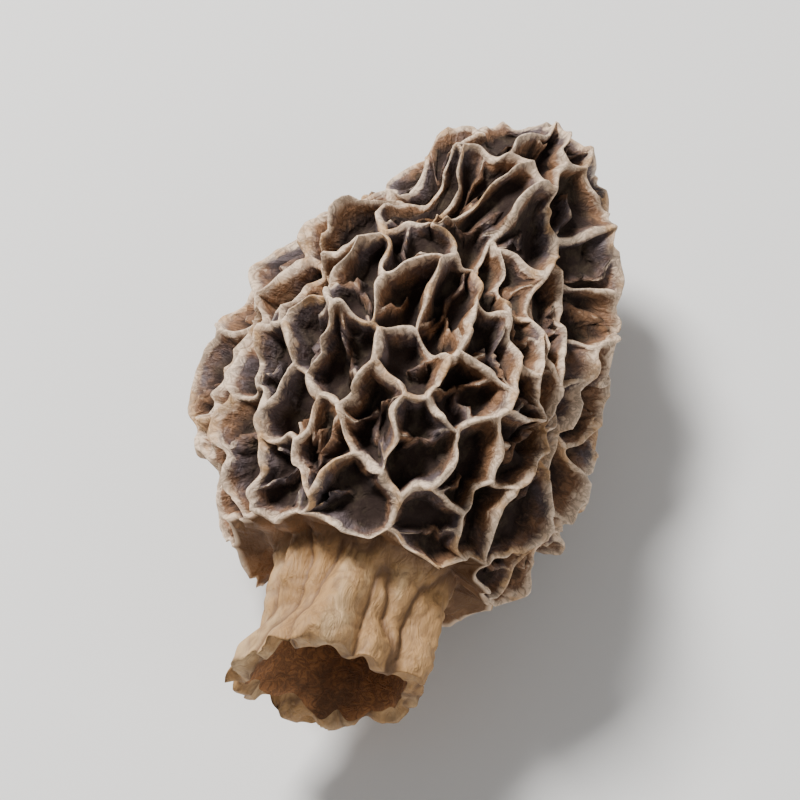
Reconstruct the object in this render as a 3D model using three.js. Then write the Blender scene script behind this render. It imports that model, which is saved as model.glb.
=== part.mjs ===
// A dried morel mushroom, lying on its side as it rests on a table.
//
// Millimetres, +Z up. The mushroom's axis runs along Y, with the cut stem towards -Y and the tip
// towards +Y. The origin is on the table, under the middle of the box round the mushroom.
//
// A morel grows as one piece: cap and stem share one thin wall round one hollow, which opens at the cut.
// The cap's outside is a net of raised, wavy ridges round deep pits. The net is the Voronoi diagram of
// points scattered on a unit sphere, and the sphere is then mapped on to the shrivelled cap.

import * as THREE from "three";
import { ConvexHull } from "three/addons/math/ConvexHull.js";

// Driving dimensions
const CORE_RADIUS = 8.7; // half width of the cap's wall at its widest, under the ridges
const CORE_FLATNESS = 0.86; // the cap dried flatter than it is wide
const TIP_LENGTH = 17.2; // from the cap's widest place to its tip
const SKIRT_LENGTH = 13; // from the widest place towards the stem, where the full egg would end
const TIP_TAPER = 1.08; // above 1 the tip is more pointed than an egg
const SKIRT_TAPER = 0.9;
const RIM_ANGLE = THREE.MathUtils.degToRad(140); // where the cap ends, counted from the tip
const RIM_HEIGHT = Math.cos(RIM_ANGLE); // the same place on the unit sphere
const CRUMPLE_DEPTH = 0.075; // of the dents all over, as a share of the cap's radius
const RIM_STIFFENING = 0.4; // the stem keeps the cap from crumpling this near the rim, on the unit sphere
const FOLD_DEPTH = 0.3; // of the creases where the cap sank in, as shares too
const FOLD_WIDTH = 0.14;
const FOLD_AT = 0.52; // height on the unit sphere of the crease behind the tip, half way across
const FOLD_LEAN = 0.33; // how much lower that crease is on the side that the tip leans to
const FOLD_RIDGE_LOSS = 0.55; // share of their height that ridges lose where they cross it
const SIDE_FOLD_SHARE = 0.7; // the crease along one side is this deep beside the one behind the tip
const FLARE = 0.13; // one side of the skirt stands out
const FLARE_AT = new THREE.Vector3(-0.82, -0.5, 0.28);
const FLARE_SPREAD = 0.6;
const WALL = 1.1; // flesh between a pit's floor and the hollow
const TIP_BEND = 4.2; // the dried tip leans sideways
const TIP_RISE = 0.8; // and a little up
const AXIS_HEIGHT = 8.45; // of the stem's middle over the table
const AXIS_X = 0.35; // these two put the middle of the box over the origin
const AXIS_Y = -0.282;

// Ridges
const RIDGE_HEIGHT = 2.35;
const RIDGE_AT_TIP = 0.62; // share of that height left at the tip
const RIDGE_AT_RIM = 0.6; // and at the rim
const RIDGE_RAGGEDNESS = 0.24; // how unevenly high they stand
const CREST_HALF_WIDTH = 0.28;
const FOOT_HALF_WIDTH = 0.66;
const CROSS_RIDGE_DIP = 0.34; // how much lower a ridge across the axis is than one along it
const CREST_WAVE = 0.045; // sideways wander of the crest, in radians of the sphere
const FOOT_WAVE = 0.028;
const SAMPLE_ANGLE = 0.082; // spacing of the points along a ridge
const NARROW_PIT_SHARE = 0.55; // in a narrow pit, the most of the way to its middle that a wall may reach
const PRESSED_DEPTH = 0.12; // crests this near the table lie flat on it

// Pits
const SEEDS = 150; // on the whole sphere, of which the cap takes those above its rim
const SEED_JITTER = 0.33;
const SEED_CROWDING = 0.28; // towards the cap's widest place, where the pits would be too long
const LEAST_SEED_GAP = 0.125; // in radians; a seed nearer to another than this is left out
const SKIPPED_SHARE = 0.08; // of the seeds, so that some pits are large
const FLOOR_SPREAD = 0.5; // how far pit floors differ in depth
const RIM_RAGGEDNESS = 0.5; // share of the net's own unevenness that the rim keeps
const RIM_MARGIN = 0.07; // in radians; the rim strays no further up, and every pit's middle is above that

// Stem
const STEM_RADIUS = 4.7;
const STEM_LENGTH = 7.4; // from the cap's rim to the cut
const STEM_FLARE = 0.5; // how much wider it is at the cut
const NECK_OUTSET = 0.3; // how much wider it is where it leaves the cap
const NECK_SHARE = 0.03; // of its length, where the cap's underside meets it
const NECK_CREASE_SHARE = 0.35; // of the stem's creases, that reach up to there
const NECK_FOLLOWING = 0.6; // how far the points there keep the rim's own spacing
const STEM_PINCH = 0.35; // how much narrower it is half way
const STEM_BEND = 0.8; // sideways, at the cut
const CUT_SLANT = 0.7;
const STEM_FLATNESS = 0.93;
const STEM_WALL = 0.95;
const INNER_CREASE_SHARE = 0.3; // of the outer creases, that shows inside
const STEM_RINGS = 8;

const TAU = 2 * Math.PI;
const GOLDEN_ANGLE = Math.PI * (3 - Math.sqrt(5));

// A repeatable scatter between 0 and 1 for each whole number.
function scatter(n) {
  const v = Math.sin(n * 127.1 + 311.7) * 43758.5453;
  return v - Math.floor(v);
}

// The shrivelled shape

// How far the cap has swollen or sunk at a direction, as a factor on its radius.
function shrivel(d) {
  const lumps =
    0.06 * Math.sin(3.1 * d.x + 2.2 * d.y + 1) +
    0.05 * Math.sin(4.4 * d.z - 3.3 * d.y + 2.4) +
    0.045 * Math.sin(6.2 * d.x - 4.1 * d.z + 5.6 * d.y + 0.6);
  const dents =
    Math.sin(8.5 * d.x + 3 * d.y + 0.9) *
    Math.sin(7.5 * d.y - 4 * d.z + 2.2) *
    Math.sin(7 * d.z + 3 * d.x + 1.4);
  const neckFold = FOLD_DEPTH * neckFoldShare(d);
  const sideways = bump(d.z - 0.25 - 0.35 * d.y, FOLD_WIDTH) * bump(d.x - 1, FLARE_SPREAD);
  const sideFold = SIDE_FOLD_SHARE * FOLD_DEPTH * sideways;
  const flare = FLARE * bump(d.distanceTo(FLARE_AT), FLARE_SPREAD);
  const loose = THREE.MathUtils.smoothstep(d.y, RIM_HEIGHT, RIM_HEIGHT + RIM_STIFFENING);
  return 1 + flare + loose * (lumps + 2 * CRUMPLE_DEPTH * dents - neckFold - sideFold);
}

// Where the crease behind the tip is, from 0 beside it to 1 along its middle.
function neckFoldShare(d) {
  const above = THREE.MathUtils.smoothstep(d.z - 0.5 * d.x, -0.1, 0.6);
  return bump(d.y - FOLD_AT + FOLD_LEAN * d.x, FOLD_WIDTH) * above;
}

// A smooth hump of height 1 over zero.
function bump(x, width) {
  return Math.exp(-((x / width) ** 2));
}

// A direction moved sideways by a smooth wave of the given size.
function wander(d, size) {
  const wave = new THREE.Vector3(
    Math.sin(15 * d.y + 5 * d.z + 1.3) * Math.cos(13 * d.z - 2.1),
    Math.sin(16 * d.z + 7 * d.x + 4.2) * Math.cos(12 * d.x + 0.7),
    Math.sin(14 * d.x - 6 * d.y + 2.9) * Math.cos(17 * d.y + 3.3),
  );
  return d.clone().addScaledVector(wave, size).normalize();
}

// The point of the cap at a direction, lifted from the floor of the pits.
function onCap(d, lift) {
  const around = Math.hypot(d.x, d.z) || 1e-9;
  const [length, taper] = d.y > 0 ? [TIP_LENGTH, TIP_TAPER] : [SKIRT_LENGTH, SKIRT_TAPER];
  const radius = CORE_RADIUS * around ** taper * shrivel(d);
  const slope = d.y * (CORE_RADIUS / length);
  const normal = Math.hypot(slope, around);
  const out = (lift * around) / normal;
  const y = d.y * length + (lift * slope) / normal;
  const toTip = Math.max(0, y / TIP_LENGTH);
  return new THREE.Vector3(
    ((radius + out) * d.x) / around + TIP_BEND * toTip ** 2 + AXIS_X,
    y + AXIS_Y,
    ((radius * CORE_FLATNESS + out) * d.z) / around + TIP_RISE * toTip ** 2 + AXIS_HEIGHT,
  );
}

// The lift at which the cap meets the table, if that is less than the one asked for.
function liftOverTable(d, lift) {
  const floor = onCap(d, 0).z;
  const top = onCap(d, lift).z;
  return top < 0 ? (lift * floor) / (floor - top) : lift;
}

function ridgeHeight(d) {
  const towardsTip = THREE.MathUtils.smoothstep(d.y, 0.2, 1);
  const towardsRim = THREE.MathUtils.smoothstep(-d.y, 0.35, 0.8);
  const share = 1 + (RIDGE_AT_TIP - 1) * towardsTip + (RIDGE_AT_RIM - 1) * towardsRim;
  const wave = Math.sin(9 * d.x + 11 * d.y + 2) * Math.cos(10 * d.z - 3 * d.y);
  const ragged = (1 + RIDGE_RAGGEDNESS * wave) * (1 - FOLD_RIDGE_LOSS * neckFoldShare(d));
  return liftOverTable(d, RIDGE_HEIGHT * share * ragged);
}

// The net's plan: seeds, pits and the ridges between them

function scatterSeeds() {
  const spacing = Math.sqrt((4 * Math.PI) / SEEDS);
  const seeds = [];
  for (let n = 0; n < SEEDS; n++) {
    if (scatter(n + 900) < SKIPPED_SHARE) continue;
    const even = 1 - (2 * n + 1) / SEEDS;
    const up = even * (1 - SEED_CROWDING * (1 - even * even));
    const flat = Math.sqrt(1 - up * up);
    const seed = new THREE.Vector3(
      flat * Math.cos(n * GOLDEN_ANGLE),
      up,
      flat * Math.sin(n * GOLDEN_ANGLE),
    );
    const push = new THREE.Vector3(scatter(3 * n), scatter(3 * n + 1), scatter(3 * n + 2));
    seed.addScaledVector(push.multiplyScalar(2).subScalar(1), SEED_JITTER * spacing).normalize();
    if (seeds.every((s) => s.angleTo(seed) > LEAST_SEED_GAP)) seeds.push(seed);
  }
  return seeds;
}

// Each corner of the net belongs to one triangle of the seeds' convex hull.
function netCorners(seeds) {
  const hull = new ConvexHull().setFromPoints(seeds);
  return hull.faces.map((face) => {
    const corner = { at: face.normal.clone().normalize(), seeds: [] };
    for (let e = face.edge; corner.seeds.length < 3; e = e.next)
      corner.seeds.push(seeds.indexOf(e.head().point));
    return corner;
  });
}

// A seed's corners in order round it, anticlockwise from outside.
function cornersRound(seed, corners) {
  const side = new THREE.Vector3(0, 1, 0.01).cross(seed).normalize();
  const other = seed.clone().cross(side);
  const bearing = (c) => Math.atan2(c.at.dot(other), c.at.dot(side));
  return corners.sort((a, b) => bearing(a) - bearing(b));
}

// The surface as one closed mesh

class Surface {
  constructor() {
    this.points = [];
    this.faces = [];
  }
  add(p) {
    return this.points.push(p) - 1;
  }
  // Joins two rows of points, the first on the left of the second as both run forward.
  strip(left, right) {
    for (let k = 0; k + 1 < left.length; k++) {
      this.faces.push([right[k], right[k + 1], left[k + 1]], [right[k], left[k + 1], left[k]]);
    }
  }
  geometry() {
    const geometry = new THREE.BufferGeometry();
    geometry.setAttribute(
      "position",
      new THREE.Float32BufferAttribute(
        this.points.flatMap((p) => p.toArray()),
        3,
      ),
    );
    geometry.setIndex(this.faces.filter((f) => new Set(f).size === 3).flat());
    geometry.computeVertexNormals();
    return geometry;
  }
}

// Moves a point a set distance towards a target, but never most of the way.
function towards(point, target, distance) {
  const way = target.clone().sub(point);
  return point.clone().addScaledVector(way, Math.min(distance / way.length(), NARROW_PIT_SHARE));
}

const surface = new Surface();
const seeds = scatterSeeds();
const corners = netCorners(seeds);
const isPit = seeds.map((s) => s.y > Math.cos(RIM_ANGLE - RIM_MARGIN));

// Corners on the cap's rim are drawn towards one level, and the others kept above it, so that the
// rim is only a little ragged.
for (const corner of corners) {
  corner.pits = corner.seeds.filter((s) => isPit[s]);
  if (corner.pits.length === 0) continue;
  const found = Math.acos(corner.at.y);
  const onRim = corner.pits.length < 3;
  const ragged = RIM_ANGLE + RIM_RAGGEDNESS * (found - RIM_ANGLE);
  const angle = onRim
    ? Math.max(ragged, RIM_ANGLE - RIM_MARGIN)
    : Math.min(found, RIM_ANGLE - 2 * RIM_MARGIN);
  const flat = Math.sin(angle) / Math.hypot(corner.at.x, corner.at.z);
  corner.at.set(corner.at.x * flat, Math.cos(angle), corner.at.z * flat);
}

// The crest of the net at a direction, drawn in towards one pit or, at the rim, towards the stem.
function crestPoint(d, dip, seed) {
  const wavy = wander(d, CREST_WAVE);
  const lift = ridgeHeight(wavy) * (1 - dip);
  const p = towards(onCap(wavy, lift), onCap(wander(seed, CREST_WAVE), lift), CREST_HALF_WIDTH);
  if (p.z < PRESSED_DEPTH) p.z = 0;
  return p;
}

function footPoint(d, seed) {
  return towards(onCap(wander(d, FOOT_WAVE), 0), onCap(wander(seed, FOOT_WAVE), 0), FOOT_HALF_WIDTH);
}

// The three crest points round a corner, one for each seed, with the stem's side as one.
for (const corner of corners) {
  if (!corner.pits.length) continue;
  const stemSide = new THREE.Vector3();
  for (const s of corner.seeds) if (!isPit[s]) stemSide.add(seeds[s]);
  const rimPoint =
    corner.pits.length < 3 && surface.add(crestPoint(corner.at, 0, stemSide.normalize()));
  corner.crest = corner.seeds.map((s) =>
    isPit[s] ? surface.add(crestPoint(corner.at, 0, seeds[s])) : rimPoint,
  );
  corner.foot = corner.seeds.map((s) => isPit[s] && surface.add(footPoint(corner.at, seeds[s])));
  surface.faces.push(corner.crest);
}

// A ridge runs from one corner to the next, between a pit on its left and a pit or the stem on its right.
const ridges = new Map();
function ridgeBetween(from, to, left) {
  const key = (a, b) => corners.indexOf(a) + ">" + corners.indexOf(b);
  const known = ridges.get(key(to, from));
  if (known) return known;
  const right = from.seeds.find((s) => s !== left && to.seeds.includes(s));
  const steps = Math.max(2, Math.round(from.at.angleTo(to.at) / SAMPLE_ANGLE));
  const along = Math.abs(from.at.y - to.at.y) / from.at.distanceTo(to.at);
  const rows = () => ({ [left]: [], [right]: [] });
  const ridge = { from, to, right, crest: rows(), foot: rows() };
  for (let k = 0; k <= steps; k++) {
    const end = k === 0 ? from : k === steps ? to : null;
    const d = from.at.clone().lerp(to.at, k / steps).normalize();
    const dip = CROSS_RIDGE_DIP * (1 - along) * Math.sin((Math.PI * k) / steps);
    for (const s of [left, right]) {
      const side = end && end.seeds.indexOf(s);
      ridge.crest[s].push(end ? end.crest[side] : surface.add(crestPoint(d, dip, seeds[s])));
      if (isPit[s]) ridge.foot[s].push(end ? end.foot[side] : surface.add(footPoint(d, seeds[s])));
    }
  }
  ridges.set(key(from, to), ridge);
  surface.strip(ridge.crest[left], ridge.crest[right]);
  return ridge;
}

// One pit: walls down from the crest on all sides, and a floor with its middle sunk or raised a little.
const rimRidges = [];
function pit(seedIndex) {
  const around = cornersRound(
    seeds[seedIndex],
    corners.filter((c) => c.seeds.includes(seedIndex)),
  );
  const middle = surface.add(onCap(seeds[seedIndex], FLOOR_SPREAD * (scatter(seedIndex + 40) - 0.5)));
  around.forEach((from, i) => {
    const to = around[(i + 1) % around.length];
    const ridge = ridgeBetween(from, to, seedIndex);
    const forward = ridge.from === from;
    const crest = forward ? ridge.crest[seedIndex] : ridge.crest[seedIndex].toReversed();
    const foot = forward ? ridge.foot[seedIndex] : ridge.foot[seedIndex].toReversed();
    surface.strip(foot, crest);
    surface.strip(foot.map(() => middle), foot);
    if (forward && !isPit[ridge.right]) rimRidges.push(ridge);
  });
}
seeds.forEach((_, s) => isPit[s] && pit(s));

// The rim's lower edge as one loop of points, in order round the stem.
function rimLoop() {
  const loop = [];
  let ridge = rimRidges[0];
  do {
    loop.push(...ridge.crest[ridge.right].slice(0, -1));
    const end = ridge.to;
    ridge = rimRidges.find((r) => r.from === end);
  } while (ridge !== rimRidges[0]);
  return loop;
}

// Stem and hollow are rings with one point for each point of the rim
const loop = rimLoop();
const bearingOf = (p) => Math.atan2(p.z - AXIS_HEIGHT, p.x - AXIS_X);
const evenStep = -TAU / loop.length;
const ahead = loop.map((p, k) => {
  const lead = bearingOf(surface.points[p]) - k * evenStep;
  return lead - TAU * Math.round((lead - bearingOf(surface.points[loop[0]])) / TAU);
});
const middleLead = ahead.reduce((sum, a) => sum + a, 0) / loop.length;
const bearings = loop.map((_, k) => middleLead + k * evenStep);

const rimY = AXIS_Y + SKIRT_LENGTH * RIM_HEIGHT;

// The stem's radius at a bearing, from share 0 at the cap to share 1 at the cut. It shrivelled into
// long creases, with finer wrinkles round it.
function stemRadius(bearing, share, creaseShare) {
  const long =
    0.34 * Math.sin(3 * bearing + 0.8 + 1.2 * share) +
    0.26 * Math.sin(5 * bearing + 1.5 * Math.sin(bearing) - share) +
    0.17 * Math.sin(9 * bearing + 2 * Math.sin(2 * bearing) - 2.5 * share);
  const round = 0.11 * Math.sin(15 * share + 2.2 * Math.sin(bearing) + Math.sin(3 * bearing));
  const profile = STEM_FLARE * share ** 2 - STEM_PINCH * bump(share - 0.5, 0.35);
  return STEM_RADIUS + profile + creaseShare * (long + round);
}

function stemPoint(bearing, share, inset, creaseShare = 1) {
  const radius = stemRadius(bearing, share, creaseShare) - inset;
  const slant = CUT_SLANT * Math.sin(bearing + 0.8) + 0.25 * Math.sin(3 * bearing + 2);
  return new THREE.Vector3(
    AXIS_X + radius * Math.cos(bearing) - STEM_BEND * share ** 2,
    rimY - STEM_LENGTH * share + slant * share,
    AXIS_HEIGHT + STEM_FLATNESS * radius * Math.sin(bearing),
  );
}

// A ring may use only some of the bearings, each point then standing for those up to the next.
function ring(pointAt, every = 1) {
  const row = [];
  bearings.forEach((b, k) => row.push(k % every ? row[k - 1] : surface.add(pointAt(b, k))));
  return row;
}

const rings = [loop];
// The neck, where the cap's underside meets the stem
const neckBearing = (b, k) => b + NECK_FOLLOWING * (ahead[k] - middleLead);
rings.push(
  ring((b, k) => stemPoint(neckBearing(b, k), NECK_SHARE, -NECK_OUTSET, NECK_CREASE_SHARE)),
);
for (let r = 1; r <= STEM_RINGS; r++) rings.push(ring((b) => stemPoint(b, r / STEM_RINGS, 0)));

// The hollow: up the stem, out under the cap and round to the inside of the tip.
for (const share of [1, 0.5, 0])
  rings.push(ring((b) => stemPoint(b, share, STEM_WALL, INNER_CREASE_SHARE), 2));
function hollowPoint(angle, bearing) {
  const flat = Math.sin(angle);
  const d = new THREE.Vector3(flat * Math.cos(bearing), Math.cos(angle), flat * Math.sin(bearing));
  return onCap(d, -WALL);
}
for (const degrees of [122, 106, 92, 80, 70, 61, 52, 43, 31, 17])
  rings.push(ring((b) => hollowPoint(THREE.MathUtils.degToRad(degrees), b), 2));
const innerTip = surface.add(hollowPoint(0, 0));
rings.push(bearings.map(() => innerTip));

const closed = (row) => [...row, row[0]];
for (let r = 0; r + 1 < rings.length; r++) surface.strip(closed(rings[r]), closed(rings[r + 1]));

const driedFlesh = new THREE.MeshStandardMaterial({ color: 0x5d4a3a, roughness: 0.9, metalness: 0 });
const mesh = new THREE.Mesh(surface.geometry(), driedFlesh);
mesh.name = "morel";

const morel = new THREE.Group();
morel.add(mesh);
export default morel;
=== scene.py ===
"""A dried morel mushroom lying on its side, finished for its portrait.

The net of ridges, the cap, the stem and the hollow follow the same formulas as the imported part, with
far more points, rounded crests, ribbed pits and crumpled flesh. Shapes are worked out in millimetres
in the part's own frame (+Y from the cut stem to the tip, +Z up, the table at zero), and turned into
metres where the mesh is made.
"""

import math

import bmesh
import bpy
import numpy as np
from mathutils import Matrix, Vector, noise


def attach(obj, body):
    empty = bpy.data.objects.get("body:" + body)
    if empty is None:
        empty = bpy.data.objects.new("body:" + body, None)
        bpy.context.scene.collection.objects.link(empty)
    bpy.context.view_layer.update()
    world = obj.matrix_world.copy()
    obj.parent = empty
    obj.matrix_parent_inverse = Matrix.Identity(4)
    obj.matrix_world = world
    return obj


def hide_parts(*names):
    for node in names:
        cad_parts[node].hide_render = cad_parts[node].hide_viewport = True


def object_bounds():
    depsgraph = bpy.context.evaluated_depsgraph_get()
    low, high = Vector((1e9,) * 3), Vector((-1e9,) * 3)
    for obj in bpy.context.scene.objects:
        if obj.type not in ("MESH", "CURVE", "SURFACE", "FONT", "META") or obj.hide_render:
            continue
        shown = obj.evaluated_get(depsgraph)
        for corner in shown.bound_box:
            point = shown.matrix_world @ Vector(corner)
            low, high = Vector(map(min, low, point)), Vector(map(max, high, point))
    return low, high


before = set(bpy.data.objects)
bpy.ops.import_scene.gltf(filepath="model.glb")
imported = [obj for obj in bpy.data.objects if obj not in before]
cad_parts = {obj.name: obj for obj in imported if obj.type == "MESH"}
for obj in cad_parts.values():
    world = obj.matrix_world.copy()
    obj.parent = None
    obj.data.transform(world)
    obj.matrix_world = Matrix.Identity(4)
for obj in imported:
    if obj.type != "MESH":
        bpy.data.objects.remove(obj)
SOLID_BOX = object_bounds()

MM = 0.001
TAU = 2 * math.pi
GOLDEN_ANGLE = math.pi * (3 - math.sqrt(5))

# The cap's size and shrivelled shape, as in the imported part
CORE_RADIUS = 8.7
CORE_FLATNESS = 0.86
TIP_LENGTH = 17.2
SKIRT_LENGTH = 13.0
TIP_TAPER = 1.08
SKIRT_TAPER = 0.9
RIM_ANGLE = math.radians(140)
RIM_HEIGHT = math.cos(RIM_ANGLE)
CRUMPLE_DEPTH = 0.075
RIM_STIFFENING = 0.4
FOLD_DEPTH = 0.3
FOLD_WIDTH = 0.14
FOLD_AT = 0.52
FOLD_LEAN = 0.33
FOLD_RIDGE_LOSS = 0.55
SIDE_FOLD_SHARE = 0.7
FLARE = 0.13
FLARE_AT = np.array([-0.82, -0.5, 0.28])
FLARE_SPREAD = 0.6
WALL = 1.1
TIP_BEND = 4.2
TIP_RISE = 0.8
AXIS_HEIGHT = 8.45
AXIS_X = 0.35
AXIS_Y = -0.282

# Ridges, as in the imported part
RIDGE_HEIGHT = 2.35
RIDGE_AT_TIP = 0.62
RIDGE_AT_RIM = 0.6
RIDGE_RAGGEDNESS = 0.24
FOOT_HALF_WIDTH = 0.66
CROSS_RIDGE_DIP = 0.34
CREST_WAVE = 0.045
FOOT_WAVE = 0.028
NARROW_PIT_SHARE = 0.55
PRESSED_DEPTH = 0.12

# Pits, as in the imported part
SEEDS = 150
SEED_JITTER = 0.33
SEED_CROWDING = 0.28
LEAST_SEED_GAP = 0.125
SKIPPED_SHARE = 0.08
FLOOR_SPREAD = 0.5
RIM_RAGGEDNESS = 0.5
RIM_MARGIN = 0.07

# Stem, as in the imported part
STEM_RADIUS = 4.7
STEM_LENGTH = 7.4
STEM_FLARE = 0.5
NECK_OUTSET = 0.3
NECK_SHARE = 0.03
NECK_CREASE_SHARE = 0.35
NECK_FOLLOWING = 0.6
STEM_PINCH = 0.35
STEM_BEND = 0.8
CUT_SLANT = 0.7
STEM_FLATNESS = 0.93
STEM_WALL = 0.95
INNER_CREASE_SHARE = 0.3

# Finer relief, in millimetres where it isn't a share
COLUMN_SPACING = 0.2  # between points along a crest
CREST_MEANDER = 0.42  # how far crests stray, in lumps of the next size
MEANDER_SIZE = 1.5
MEANDER_IN_PITS = 0.35  # share of the straying that the pits' floors follow
FLOOR_HOLLOWING = 0.3  # how far a pit's floor dishes towards its middle
SEPTUM_HALF_WIDTH = 0.3  # of the low ridges that part a pit again
SEPTUM_HEIGHT = 0.8  # share of the main ridges' height, at the wall
SEPTUM_AT_MIDDLE = 0.3  # the same share in the middle of the pit
SEPTUM_SPREAD = 2.4  # a pit has from one of them to three
SEPTUM_UNEVENNESS = 0.16  # of their starts, in shares of the way round the pit
SEPTUM_BEND = 0.05
SEPTUM_PALENESS = 0.95  # how near their colour comes to a crest's
SEPTUM_FADING = 0.3  # how much of that they lose towards the middle
RIB_HEIGHT = 0.4  # of the low ribs across the pits' floors
RIB_SIZE = 1.7
RIB_SHARPNESS = 3.2
PLEAT_DEPTH = 0.14  # of the creases that run down the pits' walls
PLEAT_SIZE = 0.75
PLEATS_ON_FLOOR = 0.5  # share of their depth where the floor begins
CRUMPLE = 0.6  # of the stem's skin
CRUMPLE_SIZE = 2.1
LENGTHWISE_STRETCH = 0.3  # its folds run along the stem
FINE_CRUMPLE = 0.14
FINE_CRUMPLE_SIZE = 0.8
HOLLOW_SMOOTHNESS = 0.6  # share of the crumpling that the hollow is without
# How widely the bottoms of the stem's folds get painted shade, and how dark the fine ones are
FOLD_SHADE_REACH = 0.14  # the wider, the more of a fold is dark
FINE_FOLD_SHADE_REACH = 0.12
FINE_FOLD_SHADE_SHARE = 0.5  # how dark the fine folds are beside the large ones
CREST_NOTCHING = 0.45  # share of a crest's height that its deepest notches take
NOTCH_SIZE = 1.4
TEAR_DEPTH = 1.6  # of the stem's torn edge
TEAR_SIZE = 1.1
TEAR_STRETCH = 0.2  # the tears run along the stem
TEAR_COVER = 0.1  # the larger, the more of the edge is torn
TEAR_REACH = 2.2  # how far up the stem the edge is torn
CUT_Y = 18.2  # how far from the middle, towards -Y, the stem was cut
UNDERSIDE_SLOPE = 10.0  # the larger, the more squarely the cap's underside faces the cut

# Where in the noise each kind of relief is read, so that no two are alike
PUSH_FROM = (21.4, 33.7, 47.2)
RIBS_FROM = 5.0
CRUMPLE_FROM = 9.0
FINE_CRUMPLE_FROM = 11.0
NOTCHES_FROM = 13.0
TEARS_FROM = 17.0

# Where in the repeatable scatter each kind of draw begins
SKIP_DRAW = 900
FLOOR_DRAW = 40
SEPTUM_COUNT_DRAW = 300
SEPTUM_PLACE_DRAW = 500


def scatter(n):
    """A repeatable scatter between 0 and 1 for each whole number."""
    v = math.sin(n * 127.1 + 311.7) * 43758.5453
    return v - math.floor(v)


def smoothstep(x, low, high):
    t = np.clip((x - low) / (high - low), 0, 1)
    return t * t * (3 - 2 * t)


def bump(x, width):
    """A smooth hump of height 1 over zero."""
    return np.exp(-((x / width) ** 2))


def unit(v):
    return v / np.linalg.norm(v, axis=-1, keepdims=True)


# The numbers inside the waves, here and in the stem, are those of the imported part


def neck_fold_share(d):
    """Where the crease behind the tip is, from 0 beside it to 1 along its middle."""
    x, y, z = d.T
    return bump(y - FOLD_AT + FOLD_LEAN * x, FOLD_WIDTH) * smoothstep(z - 0.5 * x, -0.1, 0.6)


def shrivel(d):
    """How far the cap has swollen or sunk at a direction, as a factor on its radius."""
    x, y, z = d.T
    lumps = (
        0.06 * np.sin(3.1 * x + 2.2 * y + 1)
        + 0.05 * np.sin(4.4 * z - 3.3 * y + 2.4)
        + 0.045 * np.sin(6.2 * x - 4.1 * z + 5.6 * y + 0.6)
    )
    dents = np.sin(8.5 * x + 3 * y + 0.9) * np.sin(7.5 * y - 4 * z + 2.2) * np.sin(7 * z + 3 * x + 1.4)
    neck_fold = FOLD_DEPTH * neck_fold_share(d)
    sideways = bump(z - 0.25 - 0.35 * y, FOLD_WIDTH) * bump(x - 1, FLARE_SPREAD)
    side_fold = SIDE_FOLD_SHARE * FOLD_DEPTH * sideways
    flare = FLARE * bump(np.linalg.norm(d - FLARE_AT, axis=1), FLARE_SPREAD)
    loose = smoothstep(y, RIM_HEIGHT, RIM_HEIGHT + RIM_STIFFENING)
    return 1 + flare + loose * (lumps + 2 * CRUMPLE_DEPTH * dents - neck_fold - side_fold)


def wander(d, size):
    """Directions moved sideways by a smooth wave of the given size."""
    x, y, z = d.T
    wave = np.stack(
        [
            np.sin(15 * y + 5 * z + 1.3) * np.cos(13 * z - 2.1),
            np.sin(16 * z + 7 * x + 4.2) * np.cos(12 * x + 0.7),
            np.sin(14 * x - 6 * y + 2.9) * np.cos(17 * y + 3.3),
        ],
        axis=1,
    )
    return unit(d + wave * np.reshape(size, (-1, 1)))


def on_cap(d, lift):
    """The points of the cap at some directions, lifted from the floor of the pits."""
    x, y, z = d.T
    around = np.maximum(np.hypot(x, z), 1e-9)
    length = np.where(y > 0, TIP_LENGTH, SKIRT_LENGTH)
    taper = np.where(y > 0, TIP_TAPER, SKIRT_TAPER)
    radius = CORE_RADIUS * around**taper * shrivel(d)
    slope = y * CORE_RADIUS / length
    normal = np.hypot(slope, around)
    out = lift * around / normal
    along = y * length + lift * slope / normal
    to_tip = np.maximum(0, along / TIP_LENGTH)
    return np.stack(
        [
            (radius + out) * x / around + TIP_BEND * to_tip**2 + AXIS_X,
            along + AXIS_Y,
            (radius * CORE_FLATNESS + out) * z / around + TIP_RISE * to_tip**2 + AXIS_HEIGHT,
        ],
        axis=1,
    )


def lift_over_table(d, lift):
    """The lift at which the cap meets the table, where that is less than the one asked for."""
    floor = on_cap(d, 0)[:, 2]
    top = on_cap(d, lift)[:, 2]
    return np.where(top < 0, lift * floor / np.where(top < 0, floor - top, 1), lift)


def ridge_height(d):
    x, y, z = d.T
    share = (
        1
        + (RIDGE_AT_TIP - 1) * smoothstep(y, 0.2, 1)
        + (RIDGE_AT_RIM - 1) * smoothstep(-y, 0.35, 0.8)
    )
    wave = np.sin(9 * x + 11 * y + 2) * np.cos(10 * z - 3 * y)
    ragged = (1 + RIDGE_RAGGEDNESS * wave) * (1 - FOLD_RIDGE_LOSS * neck_fold_share(d))
    return lift_over_table(d, RIDGE_HEIGHT * share * ragged)


def noise_at(points, size, offset=0.0):
    """Smooth noise from -1 to 1 at each point, with lumps about the given size."""
    shift = Vector((offset, 2.3 * offset, -1.7 * offset))
    return np.array([noise.noise(Vector(p) / size + shift) for p in points])


def noise_push(points, size):
    """A smooth push for each point, each part from -1 to 1, and the same at every run."""
    return np.stack([noise_at(points, size, offset) for offset in PUSH_FROM], axis=1)


# The net's plan: seeds, pits and the ridges between them


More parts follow.
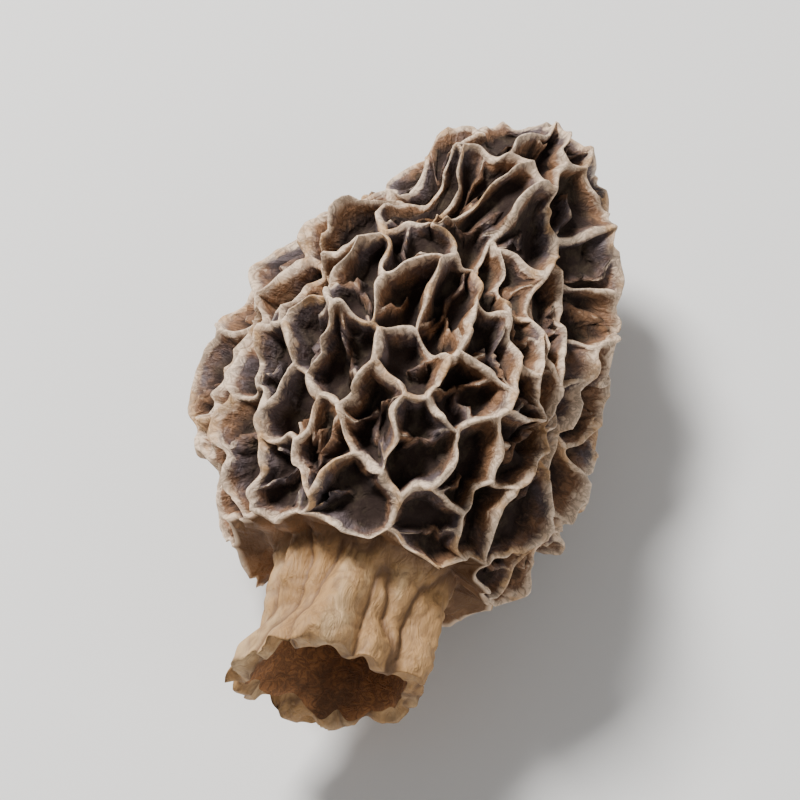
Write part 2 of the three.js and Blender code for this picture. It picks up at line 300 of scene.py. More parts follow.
def scatter_seeds():
    spacing = math.sqrt(4 * math.pi / SEEDS)
    seeds = []
    for n in range(SEEDS):
        if scatter(n + SKIP_DRAW) < SKIPPED_SHARE:
            continue
        even = 1 - (2 * n + 1) / SEEDS
        up = even * (1 - SEED_CROWDING * (1 - even * even))
        flat = math.sqrt(1 - up * up)
        turn = n * GOLDEN_ANGLE
        seed = np.array([flat * math.cos(turn), up, flat * math.sin(turn)])
        push = np.array([scatter(3 * n), scatter(3 * n + 1), scatter(3 * n + 2)])
        seed = unit(seed + (2 * push - 1) * SEED_JITTER * spacing)
        if all(seed @ other < math.cos(LEAST_SEED_GAP) for other in seeds):
            seeds.append(seed)
    return np.array(seeds)


def net_corners(seeds):
    """Each corner of the net belongs to one triangle of the seeds' convex hull."""
    hull = bmesh.new()
    for n, seed in enumerate(seeds):
        hull.verts.new(seed).index = n
    bmesh.ops.convex_hull(hull, input=hull.verts[:])
    triangles = [[v.index for v in f.verts] for f in hull.faces]
    hull.free()
    places = []
    for a, b, c in triangles:
        normal = unit(np.cross(seeds[b] - seeds[a], seeds[c] - seeds[a]))
        places.append(normal if normal @ seeds[a] > 0 else -normal)
    return np.array(places), triangles


class Net:
    """The corners, crest lines and pits of the whole net, as directions on the unit sphere."""

    def __init__(self):
        self.seeds = scatter_seeds()
        self.is_pit = self.seeds[:, 1] > math.cos(RIM_ANGLE - RIM_MARGIN)
        self.corners, self.corner_seeds = net_corners(self.seeds)
        self.even_the_rim()
        self.directions = list(self.corners)
        self.dips = [0.0] * len(self.corners)
        self.lines = {}

    def even_the_rim(self):
        """Corners on the cap's rim are drawn towards one level, and the others kept above it."""
        for corner, owners in zip(self.corners, self.corner_seeds):
            found = math.acos(corner[1])
            if not any(self.is_pit[owners]):
                continue
            if all(self.is_pit[owners]):
                angle = min(found, RIM_ANGLE - 2 * RIM_MARGIN)
            else:
                ragged = RIM_ANGLE + RIM_RAGGEDNESS * (found - RIM_ANGLE)
                angle = max(ragged, RIM_ANGLE - RIM_MARGIN)
            flat = math.sin(angle) / math.hypot(corner[0], corner[2])
            corner[:] = corner[0] * flat, math.cos(angle), corner[2] * flat

    def corners_round(self, seed):
        """A seed's corners in order round it, anticlockwise from outside."""
        here = self.seeds[seed]
        side = unit(np.cross([0, 1, 0.01], here))
        other = np.cross(here, side)
        around = [c for c, owners in enumerate(self.corner_seeds) if seed in owners]
        return sorted(
            around, key=lambda c: math.atan2(self.corners[c] @ other, self.corners[c] @ side)
        )

    def line(self, start, end):
        """Indices of the crest points from one corner up to, but not with, the next."""
        if (end, start) in self.lines:
            there = self.lines[end, start]
            return [start, *reversed(there[1:])]
        if (start, end) not in self.lines:
            a, b = self.corners[start], self.corners[end]
            angle = math.acos(min(1, a @ b))
            steps = max(3, round(angle * (CORE_RADIUS + RIDGE_HEIGHT) / COLUMN_SPACING))
            across = 1 - abs(a[1] - b[1]) / max(np.linalg.norm(a - b), 1e-9)
            row = [start]
            for k in range(1, steps):
                row.append(len(self.directions))
                self.directions.append(unit(a + (b - a) * k / steps))
                self.dips.append(CROSS_RIDGE_DIP * across * math.sin(math.pi * k / steps))
            self.lines[start, end] = row
        return self.lines[start, end]

    def pit_ring(self, seed):
        """Indices of the crest points all the way round a pit."""
        around = self.corners_round(seed)
        ring = []
        for start, end in zip(around, around[1:] + around[:1]):
            ring += self.line(start, end)
        return ring

    def rim_loop(self):
        """Crest points of the rim in order, with the pits on the left."""
        follows = {}
        for seed in np.flatnonzero(self.is_pit):
            around = self.corners_round(seed)
            for start, end in zip(around, around[1:] + around[:1]):
                shared = set(self.corner_seeds[start]) & set(self.corner_seeds[end])
                if not all(self.is_pit[s] for s in shared):
                    follows[start] = end
        first = next(iter(follows))
        loop = []
        start = first
        while True:
            loop += self.line(start, follows[start])
            start = follows[start]
            if start == first:
                return loop


# Rows of points between the middle of a crest and the foot of its wall, as shares of the foot's
# distance, with the share of the ridge's height left at each
WALL_ROWS = (
    (0.10, 0.985),
    (0.20, 0.93),
    (0.29, 0.82),
    (0.40, 0.58),
    (0.54, 0.32),
    (0.73, 0.12),
    (1.00, 0.03),
)
# And from there to the middle of the pit, as shares of the rest of the way
FLOOR_ROWS = (0.2, 0.42, 0.64, 0.85)

CAP, STEM, LINING = range(3)


class Flesh:
    """The points and faces of the whole morel, with what its colours are worked out from."""

    def __init__(self):
        self.points = []
        self.marks = []
        self.faces = []
        self.finishes = []
        self.count = 0

    def add(self, points, crest=0.0, stem=0.0, hollow=0.0, along=0.0):
        first = self.count
        self.points.append(points)
        marks = np.zeros((len(points), 4))
        for column, values in enumerate((crest, stem, hollow, along)):
            marks[:, column] = values
        self.marks.append(marks)
        self.count += len(points)
        return np.arange(first, self.count)

    def add_sparse(self, points, **marks):
        """Adds every other point of a closed row, each standing for the one after it too."""
        chosen = {name: values[::2] for name, values in marks.items()}
        return np.repeat(self.add(points[::2], **chosen), 2)[: len(points)]

    def strip(self, left, right, finish):
        """Joins two closed rows of points, the first on the left of the second."""
        for face in zip(right, np.roll(right, -1), np.roll(left, -1), left):
            corners = tuple(dict.fromkeys(int(v) for v in face))
            if len(corners) > 2:
                self.faces.append(corners)
                self.finishes.append(finish)


def septa(seed, ring_length):
    """A function for how strongly a pit's low inner ridges stand at each of its columns."""
    count = 1 + int(SEPTUM_SPREAD * scatter(seed + SEPTUM_COUNT_DRAW))
    first = scatter(seed * 3 + SEPTUM_PLACE_DRAW)
    uneven = [SEPTUM_UNEVENNESS * scatter(seed + 7 * k) for k in range(count)]
    starts = [first + k / count + uneven[k] for k in range(count)]
    columns = np.arange(ring_length) / ring_length
    girth = ring_length * COLUMN_SPACING

    def strength(share, inward):
        best = np.zeros(ring_length)
        for k, start in enumerate(starts):
            bend = SEPTUM_BEND * math.sin(5 * inward + 3 * k + seed)
            apart = np.abs((columns - start - bend + 0.5) % 1 - 0.5)
            sideways = apart * girth * (1 - share)
            best = np.maximum(best, bump(sideways, SEPTUM_HALF_WIDTH))
        return best

    return strength


def cap_flesh(flesh, net):
    """The outside of the cap: crests, walls and floors of every pit."""
    pits = np.flatnonzero(net.is_pit)
    rings = {s: net.pit_ring(s) for s in pits}
    directions = np.array(net.directions)
    wavy = wander(directions, CREST_WAVE)
    heights = ridge_height(wavy) * (1 - np.array(net.dips))
    notches = np.maximum(0, noise_at(on_cap(wavy, heights), NOTCH_SIZE, NOTCHES_FROM))
    heights *= 1 - CREST_NOTCHING * notches
    used = sorted({k for ring in rings.values() for k in ring})
    crest_ids = np.full(len(directions), -1)
    crest_ids[used] = flesh.add(on_cap(wavy[used], heights[used]), crest=1)
    for s in pits:
        ring = np.array(rings[s])
        edge = directions[ring]
        seed = net.seeds[s]
        middle = on_cap(wander(seed[None], FOOT_WAVE), 0)
        way = np.linalg.norm(on_cap(wander(edge, FOOT_WAVE), 0) - middle, axis=1)
        foot = np.minimum(FOOT_HALF_WIDTH / way, NARROW_PIT_SHARE)
        rows = [(foot * share, left, 0.0) for share, left in WALL_ROWS]
        rows += [(foot + (1 - foot) * share, 0.0, share) for share in FLOOR_ROWS]
        sunk = FLOOR_SPREAD * (scatter(int(s) + FLOOR_DRAW) - 0.5) - FLOOR_HOLLOWING
        septum = septa(int(s), len(ring))
        outer = crest_ids[ring]
        crests = on_cap(wavy[ring], heights[ring])
        along = np.cumsum(np.linalg.norm(crests - np.roll(crests, 1, axis=0), axis=1))
        pleat = PLEAT_DEPTH * noise_at(np.outer(along, [1, 0, 0]), PLEAT_SIZE, float(s))
        for share, left, inward in rows:
            on_wall = 4 * left * (1 - left) if left else PLEATS_ON_FLOOR * (1 - inward)
            d = unit(edge + (seed - edge) * (share + pleat * on_wall / way)[:, None])
            stands = septum(share, inward)
            top = SEPTUM_HEIGHT + (SEPTUM_AT_MIDDLE - SEPTUM_HEIGHT) * smoothstep(inward, 0, 1)
            raised = stands * np.maximum(0, top - left)
            lift = heights[ring] * (left + raised) + sunk * inward * (1 - stands)
            size = FOOT_WAVE + (CREST_WAVE - FOOT_WAVE) * left
            septum_tone = stands**2 * (SEPTUM_PALENESS - SEPTUM_FADING * inward)
            paleness = np.maximum(left, septum_tone)
            add = flesh.add_sparse if inward else flesh.add
            inner = add(on_cap(wander(d, size), lift), crest=paleness, along=along)
            flesh.strip(inner, outer, CAP)
            outer = inner
        centre_lift = SEPTUM_AT_MIDDLE * heights[ring].mean()
        centre = flesh.add(on_cap(wander(seed[None], FOOT_WAVE), centre_lift), crest=0.5)
        flesh.strip(np.repeat(centre, len(ring)), outer, CAP)
    return crest_ids


def stem_point(bearing, share, inset, crease_share=1.0):
    """The stem's points at some bearings, a share of the way from the rim to the cut."""
    long = (
        0.34 * np.sin(3 * bearing + 0.8 + 1.2 * share)
        + 0.26 * np.sin(5 * bearing + 1.5 * np.sin(bearing) - share)
        + 0.17 * np.sin(9 * bearing + 2 * np.sin(2 * bearing) - 2.5 * share)
    )
    wrinkles = 0.11 * np.sin(15 * share + 2.2 * np.sin(bearing) + np.sin(3 * bearing))
    profile = STEM_FLARE * share**2 - STEM_PINCH * bump(share - 0.5, 0.35)
    radius = STEM_RADIUS + profile + crease_share * (long + wrinkles) - inset
    slant = CUT_SLANT * np.sin(bearing + 0.8) + 0.25 * np.sin(3 * bearing + 2)
    rim_y = AXIS_Y + SKIRT_LENGTH * math.cos(RIM_ANGLE)
    return np.stack(
        [
            AXIS_X + radius * np.cos(bearing) - STEM_BEND * share**2,
            rim_y - STEM_LENGTH * share + slant * share,
            AXIS_HEIGHT + STEM_FLATNESS * radius * np.sin(bearing),
        ],
        axis=1,
    )


def hollow_point(angle, bearing):
    """The points of the cap's hollow at one angle from the tip."""
    flat = math.sin(angle)
    up = np.full(len(bearing), math.cos(angle))
    return on_cap(np.stack([flat * np.cos(bearing), up, flat * np.sin(bearing)], axis=1), -WALL)


UNDERSIDE_ROWS = 8
STEM_ROWS = 36
CUT_ROWS = 4
STEM_HOLLOW_ROWS = 10
CAP_HOLLOW_ROWS = 14
HOLLOW_FROM = math.radians(128)  # where the cap's hollow meets the stem's
CREST_EDGING = 0.3  # share of the underside over which the rim's pale crest fades
NECK_TONE = 0.35  # the stem mark at the neck, from 0 at the rim to 1 on the bare stem
BARE_STEM_FROM = 0.4  # share of the stem's length where it is quite bare
NECK_REACH = 0.12  # share of its length that follows the neck
CUT_TONES = (0.3, 0.7)  # the hollow mark across the cut, from its outer edge inwards


def stem_flesh(flesh, net, crest_ids):
    """The cap's underside, the stem, its cut edge and the hollow, as rings from the rim inwards."""
    loop = crest_ids[net.rim_loop()]
    rim = np.concatenate(flesh.points)[loop]
    lead = np.unwrap(np.arctan2(rim[:, 2] - AXIS_HEIGHT, rim[:, 0] - AXIS_X))
    steps = -TAU / len(loop) * np.arange(len(loop))
    bearing = np.mean(lead - steps) + steps
    rings = []
    neck_bearing = bearing + NECK_FOLLOWING * (lead - bearing)
    neck = stem_point(neck_bearing, NECK_SHARE, -NECK_OUTSET, NECK_CREASE_SHARE)
    for k in range(1, UNDERSIDE_ROWS + 1):
        share = k / UNDERSIDE_ROWS
        edging = 1 - smoothstep(share, 0, CREST_EDGING)
        rings.append((rim + (neck - rim) * share, edging, NECK_TONE * share, 0))
    for k in range(1, STEM_ROWS + 1):
        share = NECK_SHARE + (1 - NECK_SHARE) * k / STEM_ROWS
        near_neck = bump(share - NECK_SHARE, NECK_REACH)
        turned = bearing + near_neck * (neck_bearing - bearing)
        creases = 1 + near_neck * (NECK_CREASE_SHARE - 1)
        bareness = smoothstep(share, NECK_SHARE, BARE_STEM_FROM)
        shade = NECK_TONE + (1 - NECK_TONE) * bareness
        skin = stem_point(turned, share, -NECK_OUTSET * near_neck, creases)
        rings.append((skin, 0, shade, 0))
    outer_cut = stem_point(bearing, 1.0, 0)
    inner_cut = stem_point(bearing, 1.0, STEM_WALL, INNER_CREASE_SHARE)
    for k in range(1, CUT_ROWS + 1):
        share = k / CUT_ROWS
        tone = CUT_TONES[0] + (CUT_TONES[1] - CUT_TONES[0]) * share
        rings.append((outer_cut + (inner_cut - outer_cut) * share, 0, 1, tone))
    for k in range(1, STEM_HOLLOW_ROWS + 1):
        share = 1 - k / STEM_HOLLOW_ROWS
        rings.append((stem_point(bearing, share, STEM_WALL, INNER_CREASE_SHARE), 0, 1, 1))
    for k in range(CAP_HOLLOW_ROWS):
        angle = HOLLOW_FROM * (1 - k / CAP_HOLLOW_ROWS)
        rings.append((hollow_point(angle, bearing), 0, 1, 1))
    outer = loop
    for points, crest, stem, hollow in rings:
        inner = flesh.add(points, crest, stem, hollow)
        flesh.strip(outer, inner, LINING if hollow == 1 else STEM)
        outer = inner
    end = flesh.add(hollow_point(0.0, np.zeros(1)), 0, 1, 1)
    flesh.strip(outer, np.repeat(end, len(outer)), LINING)


def roughen(points, marks):
    """Adds the crests' meander, the pits' ribs, the stem's crumpled skin and its torn edge, and works
    out the painted shade in the bottoms of the skin's folds.
    """
    crest, stem, hollow, _ = marks.T
    cap = 1 - smoothstep(stem, 0.0, 0.2)
    push = noise_push(points, MEANDER_SIZE)
    under_cap = (1 - cap) * (1 - smoothstep(stem, 0.3, 0.5))
    outward = points - [AXIS_X, 0, AXIS_HEIGHT]
    outward[:, 1] = outward[:, 1] * cap - UNDERSIDE_SLOPE * under_cap
    outward = unit(outward)
    follows = MEANDER_IN_PITS + (1 - MEANDER_IN_PITS) * crest
    moved = points + push * (CREST_MEANDER * cap * follows)[:, None]
    ribs = 1 - np.abs(noise_at(points, RIB_SIZE, RIBS_FROM)) * RIB_SHARPNESS
    in_pit = cap * (1 - smoothstep(crest, 0.1, 0.6))
    moved += outward * (RIB_HEIGHT * np.maximum(ribs, 0) * in_pit)[:, None]
    lengthwise = points * [1, LENGTHWISE_STRETCH, 1]
    valleys = np.abs(noise_at(lengthwise, CRUMPLE_SIZE, CRUMPLE_FROM))
    fine_valleys = np.abs(noise_at(points, FINE_CRUMPLE_SIZE, FINE_CRUMPLE_FROM))
    folds = CRUMPLE * (2 * valleys - 0.5) + FINE_CRUMPLE * (2 * fine_valleys - 0.5)
    skin = smoothstep(stem, 0.0, 0.3)
    moved += outward * (folds * skin * (1 - HOLLOW_SMOOTHNESS * hollow))[:, None]
    near_cut = smoothstep(-points[:, 1], CUT_Y - TEAR_REACH, CUT_Y)
    tears = noise_at(points * [1, TEAR_STRETCH, 1], TEAR_SIZE, TEARS_FROM) + TEAR_COVER
    moved[:, 1] += TEAR_DEPTH * near_cut * np.maximum(0, tears)
    # Painted shade in the bottoms of the skin's folds, for the stem's colour
    deep = 1 - smoothstep(valleys, 0.0, FOLD_SHADE_REACH)
    fine = FINE_FOLD_SHADE_SHARE * (1 - smoothstep(fine_valleys, 0.0, FINE_FOLD_SHADE_REACH))
    fold_shade = skin * np.maximum(deep, fine)
    return moved, fold_shade


def into_box(points):
    """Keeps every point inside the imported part's box, and crests near the table flat on it."""
    low = np.array(SOLID_BOX[0]) / MM
    high = np.array(SOLID_BOX[1]) / MM
    points = np.clip(points, low, high)
    points[points[:, 2] < PRESSED_DEPTH, 2] = 0
    return points


def make_morel(materials):
    net = Net()
    flesh = Flesh()
    crest_ids = cap_flesh(flesh, net)
    stem_flesh(flesh, net, crest_ids)
    points = np.concatenate(flesh.points)
    marks = np.concatenate(flesh.marks)
    points, fold_shade = roughen(points, marks)
    points = into_box(points)
    mesh = bpy.data.meshes.new("morel_flesh")
    mesh.from_pydata((points * MM).tolist(), [], flesh.faces)
    mesh.polygons.foreach_set("material_index", flesh.finishes)
    for name, values in zip(("crest", "stem", "hollow", "along", "fold_shade"), (*marks.T, fold_shade)):
        mesh.attributes.new(name, "FLOAT", "POINT").data.foreach_set("value", values)
    for material in materials:
        mesh.materials.append(material)
    mesh.shade_smooth()
    morel = bpy.data.objects.new("morel_flesh", mesh)
    bpy.context.collection.objects.link(morel)
    return morel


# Materials

# The pits' two floor colours are their own dark colour deepened as painted shade; the first is also
# the painted shade in the cap's fine creases
PIT_COLOR_AND_SHADE = (0.026, 0.014, 0.010)
OLIVE_FLOOR = (0.072, 0.05, 0.031)
BROWN_WALL = (0.255, 0.128, 0.062)
SLATE_WALL = (0.118, 0.087, 0.087)
BUFF_CREST = (0.82, 0.61, 0.43)
TAN_CREST = (0.62, 0.37, 0.18)
OCHRE_SKIN = (0.43, 0.24, 0.095)
PALE_SKIN = (0.53, 0.345, 0.175)
# The colour of the painted shade in the stem's folds and creases
CREASE_SHADE_BROWN = (0.13, 0.065, 0.030)
ORANGE_LINING = (0.36, 0.15, 0.05)
# The darker lining colour makes the lining's patches, and also the painted shade under the cap's rim
# and in the lining's creases
DARK_LINING = (0.10, 0.045, 0.020)
FLOOR_COLOR = (0.82, 0.80, 0.77)

PIT_ROUGHNESS = 0.95
CREST_ROUGHNESS = 0.5
STEM_ROUGHNESS = (0.55, 0.85)  # in the wrinkles and on top of them
CAP_SHINE = 0.32
STEM_SHINE = 0.4

# Patterns, as their repeats in a metre, and for patches also how much they cover
SKIN_SCALE = 1500.0
LINING_SCALE = 1700.0
SLATE_PATCHES = (260.0, 0.49)
TAN_PATCHES = (420.0, 0.45)
MEALY_PATCHES = (700.0, 0.46)
PALE_PATCHES = (330.0, 0.44)
DARK_PATCHES = (380.0, 0.48)

# Bumps, as their strength and their height in metres
CAP_RELIEF = (0.55, 0.00012)
PLEAT_RELIEF = (0.7, 0.00025)
STEM_RELIEF = (0.6, 0.00016)
LINING_RELIEF = (0.7, 0.00015)

# The crest marks between which one tone of the cap turns into the next, darker down in the pits and
# paler up to the crests: partly the morel's own colours, partly painted shade and painted light
FLOOR_TO_WALL = (0.04, 0.66)
WALL_TO_CREST = (0.62, 0.98)
# How far the wrinkles' height shifts the tone: painted shade in the wrinkles' valleys and painted
# light on their tops
WRINKLE_LIGHT_AND_SHADE = 0.22

# How strongly each darker or paler tone is laid over the one below it; those for creases, folds and
# the cap's underside are painted shade
MEALY_STRENGTH = 0.75
CAP_CREASE_SHADE = 0.35
STEM_CREASE_SHADE = 0.25
STEM_FOLD_SHADE = 0.85
UNDERSIDE_SHADE = 0.8
LINING_STRENGTH = 0.7
LINING_CREASE_SHADE = 0.6

# Wrinkles of the skin: what valleys and grain add to the folds, and how wide the painted shade in
# their creases is
VALLEY_SHARE = 3.0
GRAIN_SHARE = 0.25
GRAIN_RATIO = 3.1  # how much finer the grain is than the folds
CREASE_SHADE_WIDTH = 0.09
PATCH_EDGE = (0.42, 0.60)  # the wider apart, the softer the patches' edges

# Sockets of Blender's Mix node where it mixes colours
MIX_SHARE, MIX_FIRST, MIX_SECOND, MIX_RESULT = 0, 6, 7, 2


class Shading:
    """A node tree with short calls to add nodes and to link them."""

    def __init__(self, tree):
        self.tree = tree

    def add(self, kind, inputs=None, **settings):
        node = self.tree.nodes.new("ShaderNode" + kind)
        for name, value in settings.items():
            setattr(node, name, value)
        for name, value in (inputs or {}).items():
            self.feed(node.inputs[name], value)
        return node

    def feed(self, socket, value):
        if isinstance(value, bpy.types.NodeSocket):
            self.tree.links.new(value, socket)
        elif isinstance(value, tuple) and len(value) == 3 and socket.type == "RGBA":
            socket.default_value = (*value, 1)
        else:
            socket.default_value = value

    def math(self, operation, first, second=0.0):
        return self.add("Math", {0: first, 1: second}, operation=operation).outputs[0]

    def span(self, value, low, high, to_low=0.0, to_high=1.0):
        """Maps a value smoothly from one span to another."""
        limits = {"From Min": low, "From Max": high, "To Min": to_low, "To Max": to_high}
        node = self.add("MapRange", {"Value": value, **limits}, interpolation_type="SMOOTHSTEP")
        return node.outputs["Result"]

    def mix(self, share, first, second):
        node = self.add("Mix", {MIX_SHARE: share}, data_type="RGBA")
        self.feed(node.inputs[MIX_FIRST], first)
        self.feed(node.inputs[MIX_SECOND], second)
        return node.outputs[MIX_RESULT]

    def mark(self, name):
        return self.add("Attribute", attribute_name=name).outputs["Fac"]

    def place(self):
        return self.add("TexCoord").outputs["Object"]

    def group(self, tree, inputs):
        node = self.tree.nodes.new("ShaderNodeGroup")
        node.node_tree = tree
        for name, value in inputs.items():
            self.feed(node.inputs[name], value)
        return node.outputs

    def patches(self, tree, place, pattern):
        """The mask of patches of another tone, from their scale and their cover."""
        scale, cover = pattern
        return self.group(tree, {"Place": place, "Scale": scale, "Cover": cover})["Mask"]

    def relief(self, height, pattern, under=None):
        """The normal of a bump, on top of another one where that is given."""
        strength, distance = pattern
        inputs = {"Strength": strength, "Distance": distance, "Height": height}
        if under is not None:
            inputs["Normal"] = under
        return self.add("Bump", inputs).outputs[0]


def new_group(name, inputs, outputs):
    """A shader node group with named sockets, and its shading helper, inputs and outputs."""
    tree = bpy.data.node_groups.new(name, "ShaderNodeTree")
    kinds = {"vector": "NodeSocketVector", "value": "NodeSocketFloat"}
    for socket, kind in inputs.items():
        tree.interface.new_socket(socket, in_out="INPUT", socket_type=kinds[kind])
    for socket, kind in outputs.items():
        tree.interface.new_socket(socket, in_out="OUTPUT", socket_type=kinds[kind])
    into = tree.nodes.new("NodeGroupInput")
    out = tree.nodes.new("NodeGroupOutput")
    return tree, Shading(tree), into.outputs, out.inputs


def shrunken_skin():
    """Fine wrinkles of dried flesh: a height for bump, and a mask of the creases between them for
    painted shade.
    """
    tree, s, given, made = new_group(
        "shrunken_skin",
        {"Place": "vector", "Scale": "value"},
        {"Height": "value", "Crease_Shade": "value"},
    )
    inputs = {"Vector": given["Place"], "Scale": given["Scale"]}
    inputs |= {"Detail": 5.0, "Roughness": 0.6, "Distortion": 0.8}
    folds = s.add("TexNoise", inputs).outputs["Fac"]
    valleys = s.math("ABSOLUTE", s.math("SUBTRACT", folds, 0.5))
    grain_scale = s.math("MULTIPLY", given["Scale"], GRAIN_RATIO)
    grain = s.add("TexVoronoi", {"Vector": given["Place"], "Scale": grain_scale})
    height = s.math("ADD", s.math("MULTIPLY", valleys, VALLEY_SHARE), folds)
    grained = s.math("MULTIPLY", grain.outputs["Distance"], GRAIN_SHARE)
    s.feed(made["Height"], s.math("ADD", height, grained))
    # The crease mask is painted shade: it darkens the colour in the valleys of the bump
    s.feed(made["Crease_Shade"], s.span(valleys, CREASE_SHADE_WIDTH, 0.0))
    return tree


def mottling():
    """Blotches of another tone, soft at their edges."""
    tree, s, given, made = new_group(
        "mottling",
        {"Place": "vector", "Scale": "value", "Cover": "value"},
        {"Mask": "value"},
    )
    inputs = {"Vector": given["Place"], "Scale": given["Scale"], "Detail": 4.0, "Roughness": 0.62}
    tone = s.add("TexNoise", inputs).outputs["Fac"]
    shifted = s.math("ADD", tone, s.math("SUBTRACT", given["Cover"], 0.5))
    s.feed(made["Mask"], s.span(shifted, *PATCH_EDGE))
    return tree


def wall_pleats():
    """Creases that run down a pit's wall, from the distance along its crest."""
    tree, s, given, made = new_group(
        "wall_pleats",
        {"Along": "value", "Crest": "value"},
        {"Height": "value"},
    )
    down = s.math("MULTIPLY", given["Crest"], 0.9)
    across = s.add("CombineXYZ", {"X": given["Along"], "Y": down}).outputs[0]
    inputs = {"Vector": across, "Scale": 2.6, "Detail": 3.0, "Roughness": 0.55}
    pleats = s.add("TexNoise", inputs).outputs["Fac"]
    on_wall = s.math("MULTIPLY", s.span(given["Crest"], 0.0, 0.15), s.span(given["Crest"], 0.95, 0.75))
    s.feed(made["Height"], s.math("MULTIPLY", pleats, on_wall))
    return tree


def new_material(name, color, roughness):
    material = bpy.data.materials.new(name)
    material.use_nodes = True
    shader = material.node_tree.nodes["Principled BSDF"]
    shader.inputs["Base Color"].default_value = (*color, 1)
    shader.inputs["Roughness"].default_value = roughness
    return material, Shading(material.node_tree), shader.inputs


def ridged_cap(effects):
    """Dark pits, brown and slate walls, and pale dry crests, partly their own colours and partly
    painted shade down in the pits and painted light up towards the crests, with painted shade in the
    fine creases.
    """
    material, s, shader = new_material("ridged_cap", BROWN_WALL, 0.8)
    place = s.place()
    crest = s.mark("crest")
    skin = s.group(effects["skin"], {"Place": place, "Scale": SKIN_SCALE})
    slate = s.patches(effects["mottling"], place, SLATE_PATCHES)
    tan = s.patches(effects["mottling"], place, TAN_PATCHES)
    pleats = s.group(effects["pleats"], {"Along": s.mark("along"), "Crest": crest})["Height"]
    mealy = s.patches(effects["mottling"], place, MEALY_PATCHES)
    floor = s.mix(s.math("MULTIPLY", mealy, MEALY_STRENGTH), PIT_COLOR_AND_SHADE, OLIVE_FLOOR)
    wall = s.mix(slate, BROWN_WALL, SLATE_WALL)
    wrinkled = s.math("SUBTRACT", skin["Height"], 1.0)
    uneven = s.math("ADD", crest, s.math("MULTIPLY", wrinkled, WRINKLE_LIGHT_AND_SHADE))
    # Darker down in the pits and paler up to the crests: partly own colour, partly painted shade and
    # painted light
    body = s.mix(s.span(uneven, *FLOOR_TO_WALL), floor, wall)
    crest_tone = s.mix(tan, BUFF_CREST, TAN_CREST)
    tone = s.mix(s.span(uneven, *WALL_TO_CREST), body, crest_tone)
    # Painted shade: the fine creases are darkened towards the pits' colour
    creased = s.mix(s.math("MULTIPLY", skin["Crease_Shade"], CAP_CREASE_SHADE), tone, PIT_COLOR_AND_SHADE)
    s.feed(shader["Base Color"], creased)
    s.feed(shader["Roughness"], s.span(uneven, 0.05, 0.8, PIT_ROUGHNESS, CREST_ROUGHNESS))
    fine = s.relief(skin["Height"], CAP_RELIEF)
    s.feed(shader["Normal"], s.relief(pleats, PLEAT_RELIEF, fine))
    shader["Specular IOR Level"].default_value = CAP_SHINE
    return material


def stem_skin(effects):
    """Ochre skin with pale patches, shrunk into long creases, with painted shade in its folds and
    creases and under the cap's rim.
    """
    material, s, shader = new_material("stem_skin", OCHRE_SKIN, 0.75)
    place = s.place()
    stretched = s.add("Mapping", {"Vector": place, "Scale": (1.0, 0.35, 1.0)}).outputs[0]
    skin = s.group(effects["skin"], {"Place": stretched, "Scale": SKIN_SCALE})
    pale = s.patches(effects["mottling"], stretched, PALE_PATCHES)
    under_cap = s.span(s.mark("stem"), 0.6, 0.3)
    tone = s.mix(pale, OCHRE_SKIN, PALE_SKIN)
    # Painted shade in the bottoms of the stem's folds
    tone = s.mix(s.math("MULTIPLY", s.mark("fold_shade"), STEM_FOLD_SHADE), tone, CREASE_SHADE_BROWN)
    # Painted shade in the skin's fine creases
    tone = s.mix(s.math("MULTIPLY", skin["Crease_Shade"], STEM_CREASE_SHADE), tone, CREASE_SHADE_BROWN)
    # Under the cap's rim the colour turns to the cap's brown mottled with a darker brown, painted
    # shade under the rim
    underside = s.mix(pale, DARK_LINING, BROWN_WALL)
    tone = s.mix(s.math("MULTIPLY", under_cap, UNDERSIDE_SHADE), tone, underside)
    tone = s.mix(s.span(s.mark("crest"), 0.5, 1.0), tone, BUFF_CREST)
    s.feed(shader["Base Color"], tone)
    s.feed(shader["Roughness"], s.span(skin["Height"], 0.3, 1.6, *STEM_ROUGHNESS))
    s.feed(shader["Normal"], s.relief(skin["Height"], STEM_RELIEF))
    shader["Specular IOR Level"].default_value = STEM_SHINE
    return material


def hollow_lining(effects):
    """Orange-brown, mealy lining with painted shade in its creases."""
    material, s, shader = new_material("hollow_lining", ORANGE_LINING, 0.85)
    place = s.place()
    skin = s.group(effects["skin"], {"Place": place, "Scale": LINING_SCALE})
    dark = s.patches(effects["mottling"], place, DARK_PATCHES)
    tone = s.mix(s.math("MULTIPLY", dark, LINING_STRENGTH), ORANGE_LINING, DARK_LINING)
    # Painted shade in the lining's creases
    tone = s.mix(s.math("MULTIPLY", skin["Crease_Shade"], LINING_CREASE_SHADE), tone, DARK_LINING)
    s.feed(shader["Base Color"], tone)
    s.feed(shader["Normal"], s.relief(skin["Height"], LINING_RELIEF))
    return material


def morel_finishes():
    """The three finishes, in the order of CAP, STEM and LINING."""
    effects = {"skin": shrunken_skin(), "mottling": mottling(), "pleats": wall_pleats()}
    return [ridged_cap(effects), stem_skin(effects), hollow_lining(effects)]


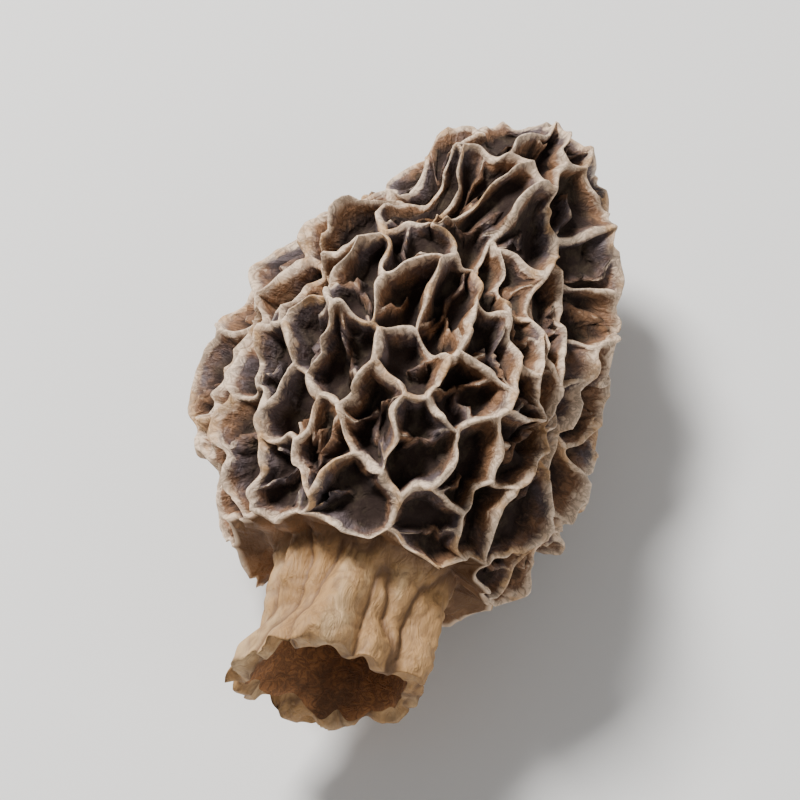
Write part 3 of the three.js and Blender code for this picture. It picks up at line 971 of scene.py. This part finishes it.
def make_floor():
    bpy.ops.mesh.primitive_plane_add(size=2)
    floor = bpy.context.object
    floor.name = "floor"
    floor.data.materials.append(new_material("pale_floor", FLOOR_COLOR, 0.6)[0])


CAMERA_AZIMUTH = math.radians(12)
CAMERA_ELEVATION = math.radians(64)
CAMERA_DISTANCE = 0.175
CAMERA_LENS = 140
CAMERA_TARGET = Vector((0.0, 0.0, 0.0085))
SENSOR_WIDTH = 36
CLOSEST_SEEN = 0.005

# Each light's place and size in metres, and its power in watts
LIGHTS = {"key_light": ((-0.25, 0.2, 0.4), 0.14, 5.2), "fill_light": ((0.4, -0.2, 0.25), 0.4, 0.7)}
SURROUNDINGS = (0.9, 0.92, 0.95, 1)
SURROUNDINGS_STRENGTH = 0.3


def make_camera():
    data = bpy.data.cameras.new("camera")
    camera = bpy.data.objects.new("camera", data)
    bpy.context.collection.objects.link(camera)
    away = Vector(
        (
            math.sin(CAMERA_AZIMUTH) * math.cos(CAMERA_ELEVATION),
            -math.cos(CAMERA_AZIMUTH) * math.cos(CAMERA_ELEVATION),
            math.sin(CAMERA_ELEVATION),
        )
    )
    camera.location = CAMERA_TARGET + away * CAMERA_DISTANCE
    camera.rotation_euler = away.to_track_quat("Z", "Y").to_euler()
    data.lens = CAMERA_LENS
    data.sensor_width = SENSOR_WIDTH
    data.clip_start = CLOSEST_SEEN
    bpy.context.scene.camera = camera


def make_light(name, place, size, power):
    data = bpy.data.lights.new(name, "AREA")
    data.size = size
    data.energy = power
    light = bpy.data.objects.new(name, data)
    light.location = place
    light.rotation_euler = Vector(place).to_track_quat("Z", "Y").to_euler()
    bpy.context.collection.objects.link(light)


def make_surroundings():
    world = bpy.data.worlds.new("studio")
    bpy.context.scene.world = world
    world.use_nodes = True
    background = world.node_tree.nodes["Background"].inputs
    background["Color"].default_value = SURROUNDINGS
    background["Strength"].default_value = SURROUNDINGS_STRENGTH


make_camera()
for light_name, (light_place, light_size, light_power) in LIGHTS.items():
    make_light(light_name, light_place, light_size, light_power)
make_surroundings()
make_floor()
morel = make_morel(morel_finishes())
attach(morel, "root")
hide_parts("morel")
